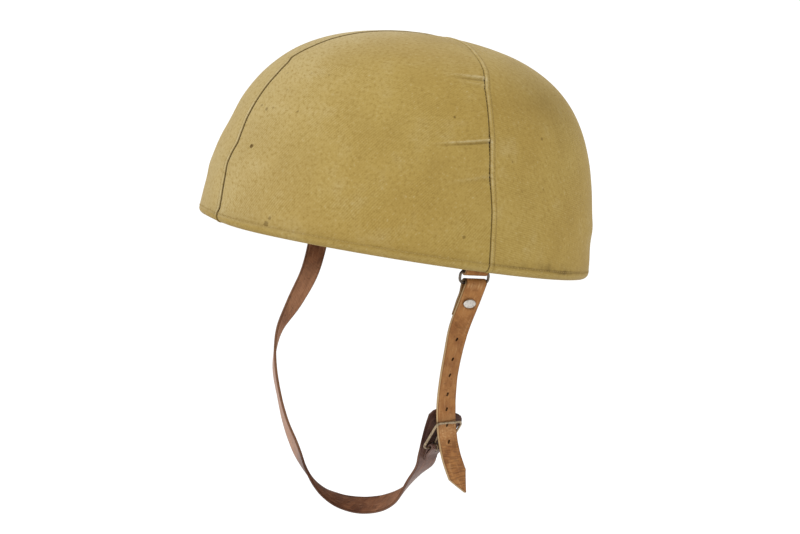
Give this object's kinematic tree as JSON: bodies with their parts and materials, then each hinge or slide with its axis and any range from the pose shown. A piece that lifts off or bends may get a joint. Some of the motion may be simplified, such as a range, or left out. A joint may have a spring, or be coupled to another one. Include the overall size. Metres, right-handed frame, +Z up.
{
  "type": "riding helmet",
  "caption": "Hard domed riding helmet without a peak, covered in sewn canvas panels, with a leather chin strap and wire buckle.",
  "frame": {"origin": "top of the hollow inside the shell, where the helmet sits on the head", "axes": "+Z up to the crown; the face looks along -Y and the wearer's left is +X"},
  "size_m": [0.2244, 0.2804, 0.3212],
  "materials": {
    "canvas": "mustard-khaki cotton twill, matt, lightly soiled",
    "shell_body": "plain pressed fibre, matt",
    "tan_leather": "tan leather, lightly polished, creased, pale raw edges",
    "brown_leather": "dark brown leather, worn soft, faint sheen",
    "dark_steel": "dark tarnished steel wire",
    "nickel": "warm nickel plate, lightly tarnished"
  },
  "bodies": {
    "root": {"shell": "shell_body", "cover_front_left": "canvas", "cover_rear_left": "canvas", "cover_rear_right": "canvas", "cover_front_right": "canvas", "ring_tab": "brown_leather", "tab_rivet": "dark_steel", "strap_ring": "dark_steel", "strap_short": "tan_leather", "strap_rivet": "nickel", "strap_long": "brown_leather", "anchor_rivet": "dark_steel", "buckle_chape": "brown_leather", "buckle_frame": "nickel", "buckle_prong": "nickel"}
  },
  "joints": []
}
